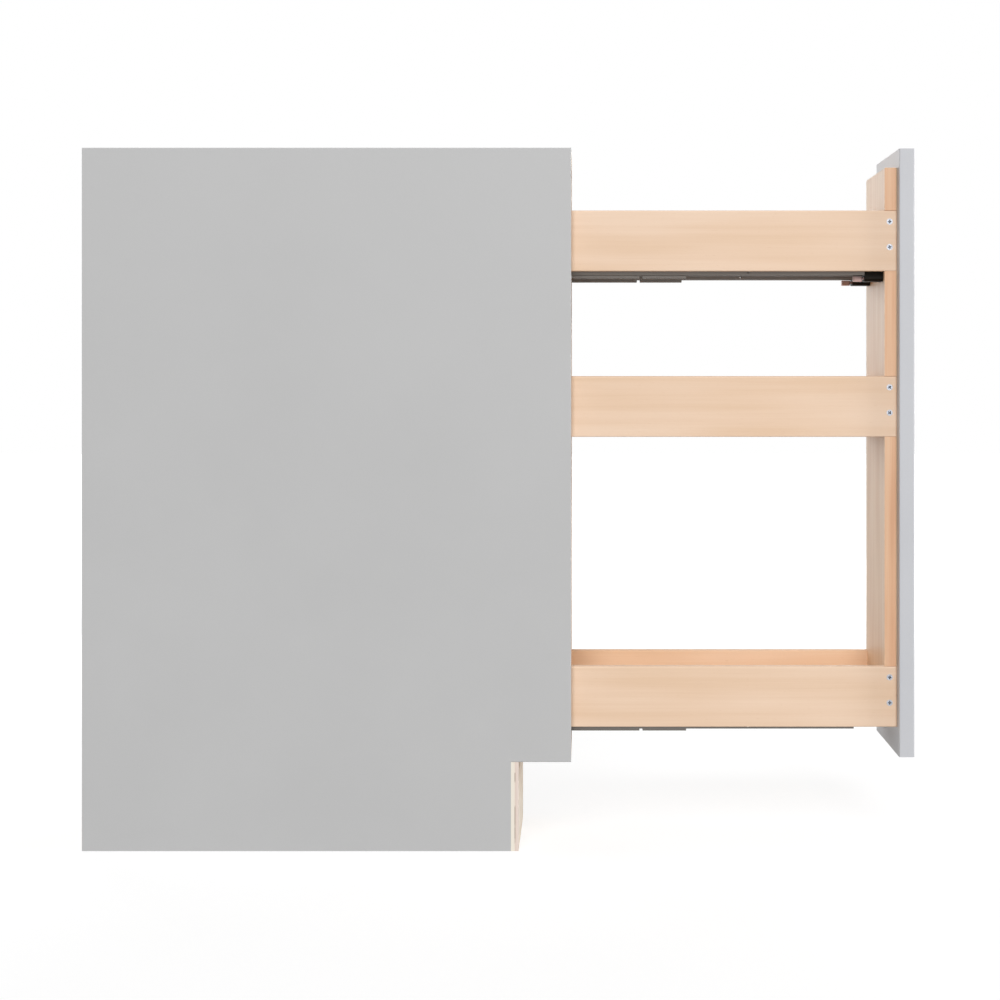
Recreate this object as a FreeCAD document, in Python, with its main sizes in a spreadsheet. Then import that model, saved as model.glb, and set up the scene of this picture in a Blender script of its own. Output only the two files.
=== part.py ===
import FreeCAD, Part
import os
import re
import Sketcher

# Spice drawer base cabinet: a narrow box with a three-tray pull-out on four undermount slides.
# Millimetres, +Z up, front towards -Y. The origin is on the floor, at mid width, in the plane of the
# cabinet's back. The pull-out is modelled drawn out by rest_opening.

doc = FreeCAD.newDocument("spice_drawer_base_cabinet")

# Driving dimensions
SIZES = {
    # Box
    "cabinet_width": 228.6,
    "cabinet_depth": 609.6,
    "cabinet_height": 876.3,
    "panel_thickness": 15.9,
    "panel_edge_radius": 1,
    "back_thickness": 12.7,
    "joint_depth": 6,
    "toe_height": 111,
    "toe_depth": 75,
    "toe_board_thickness": 9.5,
    "stretcher_width": 96,
    "worktop_hole_diameter": 5,
    "worktop_hole_spacing": 96,
    # Knock-down fittings of the box
    "cam_diameter": 15,
    "cam_height": 12.5,
    "cam_setback": 24,
    "cam_inset": 100,
    "bolt_diameter": 6,
    "bolt_cover": 1.9,
    "dowel_diameter": 8,
    "dowel_depth": 8,
    "dowel_length": 28,
    "fitting_offset": 24,
    # Framed front
    "front_reveal": 1.6,
    "front_top_reveal": 0.8,
    "front_bottom_lift": 5.7,
    "front_thickness": 19,
    "frame_width": 57,
    "frame_edge_radius": 1.5,
    "panel_groove_depth": 9.5,
    "front_panel_thickness": 6,
    "front_panel_setback": 6.5,
    "front_panel_play": 1,
    # Pull-out
    "closed_gap": 2,
    "rest_opening": 407,
    "tray_gap": 5,
    "tray_side_thickness": 12.7,
    "tray_height": 76.2,
    "tray_edge_radius": 2,
    "tray_foot_radius": 1,
    "upright_thickness": 15.9,
    "upright_headroom": 7,
    "upright_edge_radius": 1.5,
    "arris_width": 1.5,
    "floor_thickness": 6,
    "floor_recess": 12.7,
    "floor_groove_depth": 6,
    "floor_play": 0.2,
    "upper_tray_drop": 60.7,
    "middle_tray_gap": 131.7,
    "lower_tray_lift": 24.8,
    # Slide sections
    "sheet_thickness": 1.5,
    "bend_radius": 1,
    "rail_offset": 2,
    "drawer_rail_width": 28,
    "drawer_rail_drop": 4.5,
    "middle_rail_width": 21,
    "middle_neck_width": 17,
    "middle_rail_drop": 7.8,
    "fixed_head_width": 11,
    "fixed_neck_width": 7,
    "fixed_rail_drop": 10.9,
    "fixed_foot_width": 10,
    "wall_flange_height": 16,
    "roller_gap": 3.6,
    "retention_gap": 0.8,
    "lip_gap": 0.6,
    # Slide lengths
    "slide_rear_room": 63.5,
    "travel_shortfall": 3.4,
    "fixed_rail_setback": 3,
    "runner_setback": 56,
    "middle_setback": 58.5,
    "middle_rail_shortening": 93.4,
    "notch_setback": 57,
    "notch_width": 4,
    "notch_height": 3.4,
    "rail_hole_setback": 147.5,
    "rail_hole_diameter": 3.2,
    "rail_hole_level": 1.2,
    "rail_clip_gap": 0.5,
    "lower_rail_setback": 37,
    "tongue_width": 12,
    "upper_tongue_length": 18,
    "tongue_play": 0.3,
    "tongue_slot_depth": 6,
    "hook_gap": 0.5,
    "hook_width": 10,
    "hook_rise": 6.3,
    "hook_crown": 5,
    "hook_pin_diameter": 5,
    "hook_pin_length": 9,
    "hook_hole_play": 0.3,
    "slide_passage": 2,
    # Roller cages
    "cage_thickness": 1.4,
    "cage_play": 0.3,
    "cage_margin": 6,
    "inner_skirt_height": 9,
    "outer_skirt_height": 4.5,
    "roller_play": 0.1,
    "roller_window_play": 0.3,
    "inner_roller_length": 14,
    "outer_roller_length": 8,
    "roller_end_margin": 14,
    # Locking clips
    "clip_length": 23,
    "clip_drop": 12.2,
    "clip_side_gap": 0.5,
    "clip_chamfer": 3,
    "clip_screw_offset": 11,
    "clip_screw_level": 4,
    "clip_screw_grip": 5,
    "lever_floor": 2.4,
    "lever_thickness": 3,
    "lever_play": 0.2,
    "lever_pivot_depth": 10,
    "lever_pin_diameter": 4,
    "lever_pin_play": 0.05,
    "lever_eye_radius": 4.5,
    "lever_eye_play": 0.6,
    "lever_arm_width": 7,
    "lever_slot_width": 14,
    "lever_tab_gap": 2.4,
    "lever_tab_length": 11,
    "lever_tab_width": 12,
    "lever_tab_lift": 1,
    "lever_tab_radius": 2,
    # Screws
    "screw_play": 0.05,
    "tray_screw_length": 32,
    "tray_screw_shank": 3.5,
    "tray_screw_head": 7.6,
    "tray_screw_head_height": 2.4,
    "tray_screw_drop": 14,
    "tray_screw_setback": 9.5,
    "tray_screw_pitch": 32,
    "front_screw_length": 28,
    "front_screw_shank": 4,
    "front_screw_head": 8.5,
    "front_screw_head_height": 2.6,
    "front_screw_inset": 10.7,
    "clip_screw_length": 16,
    "clip_screw_shank": 3,
    "clip_screw_head": 6,
    "clip_screw_head_height": 2,
    "rail_screw_length": 12,
    "rail_screw_shank": 3.5,
    "rail_screw_head": 7,
    "rail_screw_head_height": 2,
    "rail_screw_level": 7,
    "rail_screw_setback": 37,
    "rail_screw_rear_margin": 48.4,
    "back_screw_length": 38,
    "back_screw_shank": 3.5,
    "back_screw_head": 8,
    "back_screw_head_height": 2.6,
    "back_screw_offset": 50,
}

# Places and lengths that follow from the driving dimensions. Levels of the slide sections are heights
# above the lower edge of the tray that the slide carries.
PLACES = {
    "inner_wall": "cabinet_width / 2 - panel_thickness",
    "panel_reach": "inner_wall + joint_depth",
    "deck_top": "toe_height + panel_thickness",
    "stretcher_base": "cabinet_height - panel_thickness",
    "bolt_depth": "panel_thickness - joint_depth - bolt_cover",
    "front_stretcher_middle": "stretcher_width / 2 - cabinet_depth",
    "rear_stretcher_middle": "-back_thickness - stretcher_width / 2",
    "front_half": "cabinet_width / 2 - front_reveal",
    "front_inside": "front_half - frame_width",
    "front_bottom": "toe_height + front_bottom_lift",
    "front_height": "cabinet_height - front_top_reveal - front_bottom",
    "front_back_face": "-cabinet_depth - closed_gap - rest_opening",
    "front_face": "front_back_face - front_thickness",
    "groove_back": "front_panel_setback + front_panel_thickness",
    "upright_back": "front_back_face + upright_thickness",
    "upright_top": "stretcher_base - upright_headroom",
    "tray_half": "inner_wall - tray_gap",
    "tray_inside": "tray_half - tray_side_thickness",
    "upper_level": "stretcher_base - upper_tray_drop - tray_height",
    "middle_level": "upper_level - middle_tray_gap - tray_height",
    "lower_level": "deck_top + lower_tray_lift",
    "slide_length": "cabinet_depth - back_thickness - slide_rear_room",
    "slide_travel": "slide_length - travel_shortfall",
    "tray_rear": "front_back_face + slide_length",
    "rear_upright_face": "tray_rear - upright_thickness",
    "floor_top": "floor_recess + floor_thickness",
    "rail_centre": "tray_inside - rail_offset - drawer_rail_width / 2",
    "wall_offset": "inner_wall - rail_centre",
    "drawer_web": "floor_recess - sheet_thickness",
    "middle_top": "drawer_web - roller_gap",
    "middle_web": "middle_top - sheet_thickness",
    "head_top": "middle_web - roller_gap",
    "drawer_lip": "sheet_thickness - drawer_rail_drop",
    "middle_shoulder": "drawer_lip + retention_gap",
    "middle_lip": "sheet_thickness - middle_rail_drop",
    "head_shoulder": "middle_lip + retention_gap",
    "shelf_top": "sheet_thickness - fixed_rail_drop",
    "fixed_rail_rear": "slide_length - cabinet_depth",
    "fixed_rail_length": "slide_length - fixed_rail_setback",
    "runner_length": "slide_length - runner_setback",
    "middle_rail_length": "slide_length - middle_rail_shortening",
    "middle_rail_rear": "middle_setback + middle_rail_length - cabinet_depth - rest_opening / 2",
    "drawer_rail_rear": "tray_rear + hook_gap + sheet_thickness",
    "clip_rear": "upright_back + clip_length",
    "upper_rail_length": "drawer_rail_rear - clip_rear - rail_clip_gap",
    "lower_rail_length": "drawer_rail_rear - upright_back - lower_rail_setback",
    "upper_tongue_reach": "upper_rail_length + rail_clip_gap + upper_tongue_length",
    "lower_tongue_reach": "lower_rail_length + lower_rail_setback + tongue_slot_depth - tongue_play",
    "hook_level": "floor_recess + hook_rise",
    "inner_cage_start": "middle_setback + slide_travel / 4 + cage_margin",
    "inner_cage_end": "slide_length - closed_gap - slide_travel / 4 - cage_margin",
    "inner_cage_rear": "inner_cage_end - cabinet_depth - rest_opening * 3 / 4",
    "outer_cage_start": "runner_setback + slide_travel / 4 + cage_margin",
    "outer_cage_end": "middle_setback + middle_rail_length - slide_travel / 4 - cage_margin",
    "outer_cage_rear": "outer_cage_end - cabinet_depth - rest_opening / 4",
    "clip_half": "drawer_rail_width / 2 + rail_offset - clip_side_gap",
    "lever_slot_base": "lever_floor - clip_drop",
    "lever_base": "lever_slot_base + lever_play",
    "lever_pivot": "clip_rear - lever_pivot_depth",
}

ROLLERS_PER_CAGE = 4
RAIL_SCREWS_PER_RAIL = 3
SCREWS_PER_TRAY_JOINT = 2
HOLE_OVERRUN = 1
SAME_PLACE = 0.001
TRAYS = ("upper", "middle", "lower")
SLIDES = ("upper", "lower")
LEFT, RIGHT = -1, 1

sizes = doc.addObject("Spreadsheet::Sheet", "Sizes")
for row, (name, number) in enumerate(SIZES.items(), start=1):
    sizes.set("A%d" % row, name)
    sizes.set("B%d" % row, str(number))
    sizes.setAlias("B%d" % row, name)


def with_sheet(formula):
    """Put the name of its sheet before each size and place in a formula."""
    def full_name(word):
        return ("Sizes." if word.group() in SIZES else "Places.") + word.group()
    return re.sub(r"[a-z]\w+", full_name, formula)


places = doc.addObject("Spreadsheet::Sheet", "Places")
for row, (name, formula) in enumerate(PLACES.items(), start=1):
    places.set("A%d" % row, name)
    places.setAlias("B%d" % row, name)
for row, formula in enumerate(PLACES.values(), start=1):
    places.set("B%d" % row, "=" + with_sheet(formula).replace("Places.", ""))
doc.recompute()

nodes = []


def value(formula):
    return float(sizes.evalExpression(with_sheet(formula)))


def put(thing, x, y, z):
    """Bind an object's place to three formulas."""
    for axis, formula in zip("xyz", (x, y, z)):
        thing.setExpression("Placement.Base." + axis, with_sheet(formula))
    return thing


def finished(thing, label):
    """Name a finished piece and count it as a node of the part."""
    thing.Label = label
    nodes.append(thing)
    return thing


def board(label, corner, extent):
    """A plain board from its lowest corner and its three lengths."""
    box = doc.addObject("Part::Box", label)
    for side, formula in zip(("Length", "Width", "Height"), extent):
        box.setExpression(side, with_sheet(formula))
    return put(box, *corner)


def new_body(label, x, y, z):
    body = doc.addObject("PartDesign::Body", label)
    return put(body, x, y, z)


def sketch_on(body, role, height="0"):
    """A sketch on one of the body's own origin planes, raised along the plane's normal."""
    sketch = body.newObject("Sketcher::SketchObject", body.Name + "_sketch")
    plane = [feature for feature in body.Origin.OriginFeatures if feature.Role == role][0]
    sketch.AttachmentSupport = [(plane, "")]
    sketch.MapMode = "FlatFace"
    sketch.setExpression("AttachmentOffset.Base.z", with_sheet(height))
    return sketch


def fix_point(sketch, curve, end, x, y):
    for kind, formula in (("DistanceX", x), ("DistanceY", y)):
        rule = Sketcher.Constraint(kind, -1, 1, curve, end, value(formula))
        number = sketch.addConstraint(rule)
        sketch.setExpression("Constraints[%d]" % number, with_sheet(formula))


def draw_outline(sketch, corners):
    """Draw a closed outline whose corners are pairs of formulas."""
    spots = [FreeCAD.Vector(value(x), value(y), 0) for x, y in corners]
    first = sketch.GeometryCount
    for start, end in zip(spots, spots[1:] + spots[:1]):
        sketch.addGeometry(Part.LineSegment(start, end), False)
    for step, (x, y) in enumerate(corners):
        following = first + (step + 1) % len(corners)
        sketch.addConstraint(Sketcher.Constraint("Coincident", first + step, 2, following, 1))
        fix_point(sketch, first + step, 1, x, y)
    return sketch


def draw_circle(sketch, x, y, radius):
    centre = FreeCAD.Vector(value(x), value(y), 0)
    curve = sketch.addGeometry(Part.Circle(centre, FreeCAD.Vector(0, 0, 1), value(radius)), False)
    number = sketch.addConstraint(Sketcher.Constraint("Radius", curve, value(radius)))
    sketch.setExpression("Constraints[%d]" % number, with_sheet(radius))
    fix_point(sketch, curve, 3, x, y)
    return sketch


def rectangle(left, low, right, high):
    return [(left, low), (right, low), (right, high), (left, high)]


def both_halves(right_half):
    """Close a symmetric outline from the corners of its right half."""
    return right_half + [("-(%s)" % x, y) for x, y in reversed(right_half)]


def pad(body, sketch, length):
    feature = body.newObject("PartDesign::Pad", body.Name + "_pad")
    feature.Profile = sketch
    feature.setExpression("Length", with_sheet(length))
    doc.recompute()
    return feature


def pocket(body, sketch, length, along_normal=False):
    """Cut a sketch into the body, and make sure that it takes material away."""
    before = body.Shape.Volume
    feature = body.newObject("PartDesign::Pocket", body.Name + "_pocket")
    feature.Profile = sketch
    feature.Reversed = along_normal
    feature.setExpression("Length", with_sheet(length))
    doc.recompute()
    if not body.Shape.Volume < before:
        raise ValueError("the pocket of %s cuts nothing" % body.Label)
    return feature


def round_edges(body, lines, radius):
    """Round the edges that run along lines, each a formula for two axes and None for the third."""
    wanted = [[(axis, value(formula)) for axis, formula in zip("xyz", line) if formula]
              for line in lines]
    base = body.Tip
    names = []
    for number, edge in enumerate(base.Shape.Edges, start=1):
        ends = [vertex.Point for vertex in edge.Vertexes]
        for goals in wanted:
            gaps = [abs(getattr(end, axis) - goal) for end in ends for axis, goal in goals]
            if len(ends) == 2 and max(gaps) < SAME_PLACE:
                names.append("Edge%d" % number)
    feature = body.newObject("PartDesign::Fillet", body.Name + "_round")
    feature.Base = (base, names)
    feature.setExpression("Radius", with_sheet(radius))
    doc.recompute()
    return feature


def placed(shape, spot, direction):
    """A copy of a shape made along +Z, moved to a spot and turned to a direction."""
    copy = shape.copy()
    turn = FreeCAD.Rotation(FreeCAD.Vector(0, 0, 1), FreeCAD.Vector(*direction))
    copy.Placement = FreeCAD.Placement(spot, turn)
    return copy


def group(label, shapes):
    """Separate solids that share one node."""
    feature = doc.addObject("Part::Feature", label)
    feature.Shape = Part.makeCompound(shapes)
    feature.Placement = FreeCAD.Placement()
    return feature


def drilled(label, blank, cutters):
    """A piece with holes and cut-outs taken from it."""
    cut = doc.addObject("Part::Cut", label + "_drilled")
    cut.Base = blank
    cut.Tool = group(label + "_cutters", cutters)
    return finished(cut, label)


def opposite(label, source):
    """The right-hand twin of a left-hand piece."""
    twin = doc.addObject("Part::Mirroring", label)
    twin.Source = source
    twin.Normal = FreeCAD.Vector(1, 0, 0)
    return finished(twin, label)


def rod(diameter, length, spot, direction, play=0.0):
    radius = value(diameter) / 2 + play
    return placed(Part.makeCylinder(radius, length), spot, direction)


def countersunk_screw(kind, play=0.0):
    """A flat-headed screw that points along +Z, with the top of its head at zero."""
    shank = value(kind + "_shank") / 2 + play
    head = value(kind + "_head") / 2 + play
    depth = value(kind + "_head_height")
    length = value(kind + "_length") + play
    tip = 2 * shank
    cone = Part.makeCone(head, shank, depth)
    shaft = Part.makeCylinder(shank, length - tip)
    end = Part.makeCone(shank, 0, tip, FreeCAD.Vector(0, 0, length - tip))
    return cone.fuse([shaft, end]).removeSplitter()


def pan_screw(kind, play=0.0, head_room=0.0):
    """A raised-head screw that points along +Z, with the underside of its head at zero."""
    shank = value(kind + "_shank") / 2 + play
    head = value(kind + "_head") / 2 + play
    depth = value(kind + "_head_height") + head_room
    length = value(kind + "_length") + play
    tip = 2 * shank
    cap = Part.makeCylinder(head, depth, FreeCAD.Vector(0, 0, -depth))
    shaft = Part.makeCylinder(shank, length - tip)
    end = Part.makeCone(shank, 0, tip, FreeCAD.Vector(0, 0, length - tip))
    return cap.fuse([shaft, end]).removeSplitter()


# Places of the fasteners, each a spot and the way that it points

def cam_spots():
    """Ends of the boards that cams pull to the sides: how far out, how deep, and the underside."""
    low = value("stretcher_base")
    offset = value("fitting_offset")
    spots = [(value("inner_wall"), value(middle) + offset, low)
             for middle in ("front_stretcher_middle", "rear_stretcher_middle")]
    for depth in ("cam_inset - cabinet_depth", "-back_thickness - cam_inset"):
        spots.append((value("panel_reach"), value(depth), value("toe_height")))
    return spots


def cam_discs(play=0.0, overrun=0.0):
    discs = []
    for end, depth, underside in cam_spots():
        for hand in (LEFT, RIGHT):
            spot = FreeCAD.Vector(hand * (end - value("cam_setback")), depth, underside - overrun)
            discs.append(rod("cam_diameter", value("cam_height") + overrun, spot, (0, 0, 1), play))
    return discs


def cam_bolts(hands, play=0.0, overrun=0.0):
    length = value("bolt_depth + cam_setback") + overrun
    bolts = []
    for end, depth, underside in cam_spots():
        height = underside + value("panel_thickness / 2")
        for hand in hands:
            spot = FreeCAD.Vector(hand * (end + value("bolt_depth")), depth, height)
            bolts.append(rod("bolt_diameter", length, spot, (-hand, 0, 0), play))
    return bolts


def dowels(hands, play=0.0):
    height = value("stretcher_base + panel_thickness / 2")
    pegs = []
    for middle in ("front_stretcher_middle", "rear_stretcher_middle"):
        for hand in hands:
            spot = FreeCAD.Vector(hand * value("inner_wall + dowel_depth"),
                                  value(middle) - value("fitting_offset"), height)
            pegs.append(rod("dowel_diameter", value("dowel_length"), spot, (-hand, 0, 0), play))
    return pegs


def back_screws(play=0.0):
    shape = countersunk_screw("back_screw", play)
    heights = ("toe_height + panel_thickness / 2", "stretcher_base + panel_thickness / 2")
    offset = value("back_screw_offset")
    return [placed(shape, FreeCAD.Vector(hand * offset, 0, value(height)), (0, -1, 0))
            for height in heights for hand in (LEFT, RIGHT)]


def rail_screws(hands, play=0.0):
    shape = pan_screw("rail_screw", play)
    span = value("slide_length - rail_screw_setback - rail_screw_rear_margin")
    pitch = span / (RAIL_SCREWS_PER_RAIL - 1)
    screws = []
    for slide in SLIDES:
        height = value(slide + "_level + rail_screw_level")
        for step in range(RAIL_SCREWS_PER_RAIL):
            depth = value("rail_screw_setback - cabinet_depth") + step * pitch
            for hand in hands:
                side = hand * value("inner_wall - sheet_thickness")
                screws.append(placed(shape, FreeCAD.Vector(side, depth, height), (hand, 0, 0)))
    return screws


def tray_screws(trays, ends, hands, play=0.0):
    shape = countersunk_screw("tray_screw", play)
    screws = []
    for tray in trays:
        for end in ends:
            for step in range(SCREWS_PER_TRAY_JOINT):
                height = value(tray + "_level + tray_height - tray_screw_drop")
                height -= step * value("tray_screw_pitch")
                for hand in hands:
                    spot = FreeCAD.Vector(hand * value("tray_half"), value(end), height)
                    screws.append(placed(shape, spot, (-hand, 0, 0)))
    return screws


def front_screws(play=0.0):
    shape = pan_screw("front_screw", play)
    screws = []
    for tray in TRAYS:
        height = value(tray + "_level + tray_height - tray_screw_drop - tray_screw_pitch / 2")
        for hand in (LEFT, RIGHT):
            side = hand * value("tray_inside - front_screw_inset")
            spot = FreeCAD.Vector(side, value("upright_back"), height)
            screws.append(placed(shape, spot, (0, -1, 0)))
    return screws


def clip_screws(hands, play=0.0, head_room=0.0):
    shape = pan_screw("clip_screw", play, head_room)
    height = value("upper_level + clip_screw_level")
    screws = []
    for hand in hands:
        for side in (LEFT, RIGHT):
            spot = FreeCAD.Vector(hand * value("rail_centre") + side * value("clip_screw_offset"),
                                  value("upright_back + clip_screw_grip"), height)
            screws.append(placed(shape, spot, (0, -1, 0)))
    return screws


def front_arrises(hands):
    """Wedges along the outer edges where the upright and the trays meet the front."""
    low = value("lower_level") - HOLE_OVERRUN
    height = value("upright_top") + HOLE_OVERRUN - low
    near = value("front_back_face") - HOLE_OVERRUN
    span = value("arris_width") + 2 * HOLE_OVERRUN
    wedges = []
    for hand in hands:
        side = hand * (value("tray_half") + HOLE_OVERRUN)
        corners = [FreeCAD.Vector(side, near, low), FreeCAD.Vector(side - hand * span, near, low),
                   FreeCAD.Vector(side, near + span, low)]
        outline = Part.makePolygon(corners + corners[:1])
        wedges.append(Part.Face(outline).extrude(FreeCAD.Vector(0, 0, height)))
    return wedges


FRONT_END = "front_back_face + tray_screw_setback"
REAR_END = "tray_rear - upright_thickness / 2"
PLAY = value("screw_play")


# Box

def side_panels():
    """Sides with a toe notch, a groove for the bottom and a rebate for the back."""
    body = new_body("left_side_blank", "-cabinet_width / 2", "0", "0")
    notch = "toe_depth - cabinet_depth"
    profile = draw_outline(sketch_on(body, "YZ_Plane"), [
        ("0", "0"), ("0", "cabinet_height"), ("-cabinet_depth", "cabinet_height"),
        ("-cabinet_depth", "toe_height"), (notch, "toe_height"), (notch, "0")])
    pad(body, profile, "panel_thickness")
    round_edges(body, [("0", "-cabinet_depth", None), ("0", None, "cabinet_height"),
                       ("0", None, "toe_height")], "panel_edge_radius")
    groove = sketch_on(body, "YZ_Plane", "panel_thickness")
    draw_outline(groove, rectangle("-cabinet_depth", "toe_height", "-back_thickness", "deck_top"))
    pocket(body, groove, "joint_depth")
    rebate = sketch_on(body, "YZ_Plane", "panel_thickness")
    draw_outline(rebate, rectangle("-back_thickness", "0", "0", "cabinet_height"))
    pocket(body, rebate, "joint_depth")
    cutters = cam_bolts([LEFT], PLAY) + dowels([LEFT], PLAY) + rail_screws([LEFT], PLAY)
    left = drilled("left_side_panel", body, cutters)
    opposite("right_side_panel", left)


def box_boards():
    blank = board("bottom_blank", ("-panel_reach", "-cabinet_depth", "toe_height"),
                  ("2 * panel_reach", "cabinet_depth - back_thickness", "panel_thickness"))
    fitting_holes = cam_discs(PLAY, HOLE_OVERRUN) + cam_bolts([LEFT, RIGHT], PLAY, HOLE_OVERRUN)
    fitting_holes += dowels([LEFT, RIGHT], PLAY)
    drilled("bottom_panel", blank, fitting_holes + back_screws(PLAY))
    blank = board("back_blank", ("-panel_reach", "-back_thickness", "0"),
                  ("2 * panel_reach", "back_thickness", "cabinet_height"))
    drilled("back_panel", blank, back_screws(PLAY))
    toe_face = "toe_depth - cabinet_depth - toe_board_thickness"
    finished(board("toe_board", ("-cabinet_width / 2", toe_face, "0"),
                   ("cabinet_width", "toe_board_thickness", "toe_height")), "toe_board")
    for end in ("front", "rear"):
        middle = end + "_stretcher_middle"
        corner = ("-inner_wall", middle + " - stretcher_width / 2", "stretcher_base")
        blank = board(end + "_stretcher_blank", corner,
                      ("2 * inner_wall", "stretcher_width", "panel_thickness"))
        worktop_holes = [rod("worktop_hole_diameter", value("panel_thickness") + 2 * HOLE_OVERRUN,
                             FreeCAD.Vector(hand * value("worktop_hole_spacing / 2"), value(middle),
                                            value("stretcher_base") - HOLE_OVERRUN), (0, 0, 1))
                         for hand in (LEFT, RIGHT)]
        drilled(end + "_stretcher", blank, fitting_holes + worktop_holes + back_screws(PLAY))


def box_fittings():
    bolt_room = Part.makeCompound(cam_bolts([LEFT, RIGHT], PLAY, HOLE_OVERRUN))
    finished(group("cam_discs", [disc.cut(bolt_room) for disc in cam_discs()]), "cam_discs")
    finished(group("cam_bolts", cam_bolts([LEFT, RIGHT])), "cam_bolts")
    finished(group("dowels", dowels([LEFT, RIGHT])), "dowels")
    finished(group("back_screws", back_screws()), "back_screws")
    finished(group("rail_screws", rail_screws([LEFT, RIGHT])), "rail_screws")


# Pull-out

def framed_front():
    """Five-piece front: grooved stiles, tongued rails and a loose panel."""
    stile = new_body("left_stile_blank", "-front_half", "front_face", "front_bottom")
    inner_edge = "frame_width - panel_groove_depth"
    section = draw_outline(sketch_on(stile, "XY_Plane"), [
        ("0", "0"), ("frame_width", "0"), ("frame_width", "front_panel_setback"),
        (inner_edge, "front_panel_setback"), (inner_edge, "groove_back"), ("frame_width", "groove_back"),
        ("frame_width", "front_thickness"), ("0", "front_thickness")])
    pad(stile, section, "front_height")
    round_edges(stile, [("0", "0", None), ("0", "front_thickness", None)], "frame_edge_radius")
    left = drilled("front_left_stile", stile, front_screws(PLAY))
    opposite("front_right_stile", left)

    rail = new_body("front_bottom_rail", "-front_inside", "front_face", "front_bottom")
    section = draw_outline(sketch_on(rail, "YZ_Plane"), [
        ("0", "0"), ("front_thickness", "0"), ("front_thickness", "frame_width"),
        ("groove_back", "frame_width"), ("groove_back", inner_edge), ("front_panel_setback", inner_edge),
        ("front_panel_setback", "frame_width"), ("0", "frame_width")])
    pad(rail, section, "2 * front_inside")
    tongue = sketch_on(rail, "YZ_Plane", "-panel_groove_depth")
    draw_outline(tongue, rectangle("front_panel_setback", "0", "groove_back", inner_edge))
    pad(rail, tongue, "2 * (front_inside + panel_groove_depth)")
    finished(rail, "front_bottom_rail")
    twin = doc.addObject("Part::Mirroring", "front_top_rail")
    twin.Source = rail
    twin.Normal = FreeCAD.Vector(0, 0, 1)
    twin.setExpression("Base.z", with_sheet("front_bottom + front_height / 2"))
    finished(twin, "front_top_rail")

    margin = "(frame_width - panel_groove_depth + front_panel_play)"
    corner = (margin + " - front_half", "front_face + front_panel_setback", "front_bottom + " + margin)
    extent = ("2 * (front_half - %s)" % margin, "front_panel_thickness", "front_height - 2 * " + margin)
    finished(board("front_panel", corner, extent), "front_panel")


def uprights():
    """A front board notched flush around the tray sides, and a rear board between them."""
    front = new_body("front_upright_blank", "0", "upright_back", "0")
    notches = []
    for tray in reversed(TRAYS):
        low = tray + "_level"
        high = tray + "_level + tray_height"
        notches += [("tray_half", low), ("tray_inside", low), ("tray_inside", high), ("tray_half", high)]
    outline = both_halves(notches[1:] + [("tray_half", "upright_top")])
    pad(front, draw_outline(sketch_on(front, "XZ_Plane"), outline), "upright_thickness")
    round_edges(front, [(None, "0", "upright_top"), (None, "-upright_thickness", "upright_top")],
                "upright_edge_radius")
    holes = tray_screws(TRAYS, [FRONT_END], [LEFT, RIGHT], PLAY)
    holes += front_screws(PLAY) + clip_screws([LEFT, RIGHT], PLAY) + front_arrises([LEFT, RIGHT])
    slot_width = value("tongue_width + 2 * tongue_play")
    for hand in (LEFT, RIGHT):
        corner = FreeCAD.Vector(hand * value("rail_centre") - slot_width / 2,
                                value("upright_back - tongue_slot_depth"),
                                value("lower_level + drawer_web - tongue_play"))
        holes.append(Part.makeBox(slot_width, value("tongue_slot_depth") + HOLE_OVERRUN,
                                  value("sheet_thickness + 2 * tongue_play"), corner))
    drilled("front_upright", front, holes)

    rear = new_body("rear_upright_blank", "0", "tray_rear", "0")
    passage = "rail_centre - drawer_rail_width / 2 - slide_passage"
    above = " + floor_recess + floor_play"
    top = "upper_level + tray_height"
    below = "upper_level - fixed_rail_drop - slide_passage"
    face = draw_outline(sketch_on(rear, "XZ_Plane"), both_halves([
        (passage, "lower_level"), (passage, "lower_level" + above),
        ("tray_inside", "lower_level" + above), ("tray_inside", below),
        (passage, below), (passage, "upper_level" + above),
        ("tray_inside", "upper_level" + above), ("tray_inside", top)]))
    pad(rear, face, "upright_thickness")
    round_edges(rear, [(None, "0", top), (None, "-upright_thickness", top)], "upright_edge_radius")
    hook_holes = [rod("hook_pin_diameter", value("hook_pin_length") + 2 * HOLE_OVERRUN,
                      FreeCAD.Vector(hand * value("rail_centre"), value("tray_rear") + HOLE_OVERRUN,
                                     value(slide + "_level + hook_level")),
                      (0, -1, 0), value("hook_hole_play"))
                  for slide in SLIDES for hand in (LEFT, RIGHT)]
    drilled("rear_upright", rear, tray_screws(TRAYS, [REAR_END], [LEFT, RIGHT], PLAY) + hook_holes)


def trays():
    for tray in TRAYS:
        level = tray + "_level"
        side = new_body(tray + "_tray_side_blank", "-tray_half", "tray_rear", level)
        groove = "tray_side_thickness - floor_groove_depth"
        section = draw_outline(sketch_on(side, "XZ_Plane"), [
            ("0", "0"), ("tray_side_thickness", "0"), ("tray_side_thickness", "floor_recess"),
            (groove, "floor_recess"), (groove, "floor_top + floor_play"),
            ("tray_side_thickness", "floor_top + floor_play"), ("tray_side_thickness", "tray_height"),
            ("0", "tray_height")])
        pad(side, section, "slide_length")
        round_edges(side, [("0", None, "tray_height"), ("tray_side_thickness", None, "tray_height")],
                    "tray_edge_radius")
        round_edges(side, [("0", None, "0")], "tray_foot_radius")
        holes = tray_screws([tray], [FRONT_END, REAR_END], [LEFT], PLAY) + front_arrises([LEFT])
        left = drilled(tray + "_tray_left_side", side, holes)
        opposite(tray + "_tray_right_side", left)
        reach = "tray_inside + floor_groove_depth - floor_play"
        corner = ("-(%s)" % reach, "upright_back", level + " + floor_recess")
        extent = ("2 * (%s)" % reach, "rear_upright_face - upright_back", "floor_thickness")
        finished(board(tray + "_tray_floor", corner, extent), tray + "_tray_floor")


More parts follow.
